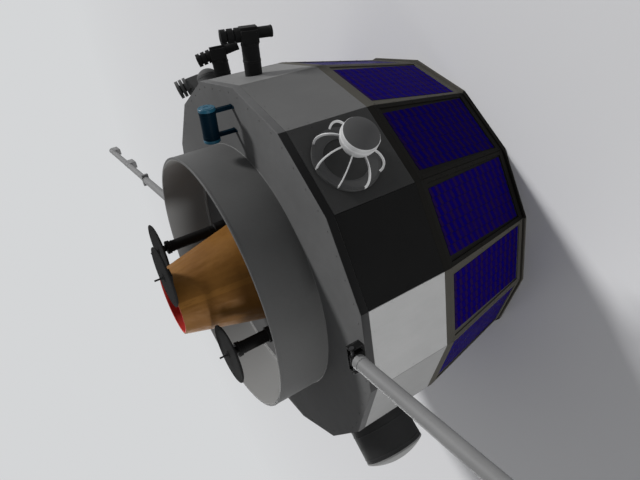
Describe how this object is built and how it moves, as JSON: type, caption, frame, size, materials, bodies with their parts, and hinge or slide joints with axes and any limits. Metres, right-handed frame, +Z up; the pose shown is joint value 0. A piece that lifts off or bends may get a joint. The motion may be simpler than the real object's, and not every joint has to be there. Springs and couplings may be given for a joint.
{
  "type": "spin-stabilised satellite",
  "caption": "Sixteen-sided drum satellite with a tapered solar section, an adapter ring, a nozzle shroud, plate antennas, finned masts and hinged booms.",
  "frame": {"origin": "centre of the rear plate's outer face, which it stands on", "axes": "+Z up the drum's axis, from the rear plate to the nozzle; +X along boom A"},
  "size_m": [5.0098, 1.4838, 1.108],
  "materials": {
    "joint_black": "matt black",
    "structure": "plain honeycomb and sheet, hidden",
    "deck_grey": "matt grey paint",
    "panel_frame": "matt warm grey",
    "solar_cell": "coated cells, deep blue violet",
    "panel_white": "matt white thermal paint",
    "panel_grey": "matt grey paint",
    "panel_dark": "matt black thermal paint",
    "ring_metal": "grey conversion coat, matt",
    "shroud_orange": "amber film bonded over a metal cone, satin",
    "liner_red": "red",
    "antenna_dark": "dark grey paint",
    "canister_teal": "teal paint",
    "mast_grey": "dark grey paint",
    "ball_metal": "satin light metal",
    "bracket_dark": "dark grey paint",
    "pin_steel": "turned steel",
    "boom_grey": "light grey paint",
    "sensor_grey": "light grey paint"
  },
  "bodies": {
    "bus": {"rear_plate": "panel_frame", "rear_joint": "joint_black", "drum_core": "structure", "belt_band": "deck_grey", "front_deck": "deck_grey", "solar_frames": "panel_frame", "solar_cells": "solar_cell", "belt_panels_white": "panel_white", "belt_panels_grey": "panel_grey", "belt_panels_dark": "panel_dark", "adapter_ring": "ring_metal", "nozzle_shroud": "shroud_orange", "shroud_liner": "liner_red", "antenna_plates": "antenna_dark", "antenna_posts": "antenna_dark", "antenna_arm": "antenna_dark", "canister": "canister_teal", "canister_arms": "canister_teal", "mast_posts": "mast_grey", "mast_heads": "mast_grey", "mast_horns": "mast_grey", "rounded_housing": "deck_grey", "ball_sensor": "ball_metal", "ball_hoop": "ball_metal", "ball_legs": "ball_metal", "side_drum": "panel_grey", "boom_a_back": "bracket_dark", "boom_a_cheeks": "bracket_dark", "boom_a_pin": "pin_steel", "boom_b_back": "bracket_dark", "boom_b_cheeks": "bracket_dark", "boom_b_pin": "pin_steel"},
    "boom_a": {"boom_a_root": "bracket_dark", "boom_a_tube": "boom_grey", "boom_a_sensors": "sensor_grey"},
    "boom_b": {"boom_b_root": "bracket_dark", "boom_b_tube": "boom_grey", "boom_b_sensors": "sensor_grey"}
  },
  "joints": [
    {"name": "boom_a_fold", "type": "hinge", "parent": "bus", "child": "boom_a", "pos_m": [0.65793, 0, 0.768], "axis": [0, -1, 0], "range_deg": [0, 90]},
    {"name": "boom_b_fold", "type": "hinge", "parent": "bus", "child": "boom_b", "pos_m": [-0.65793, 0, 0.768], "axis": [0, 1, 0], "range_deg": [0, 90]}
  ]
}
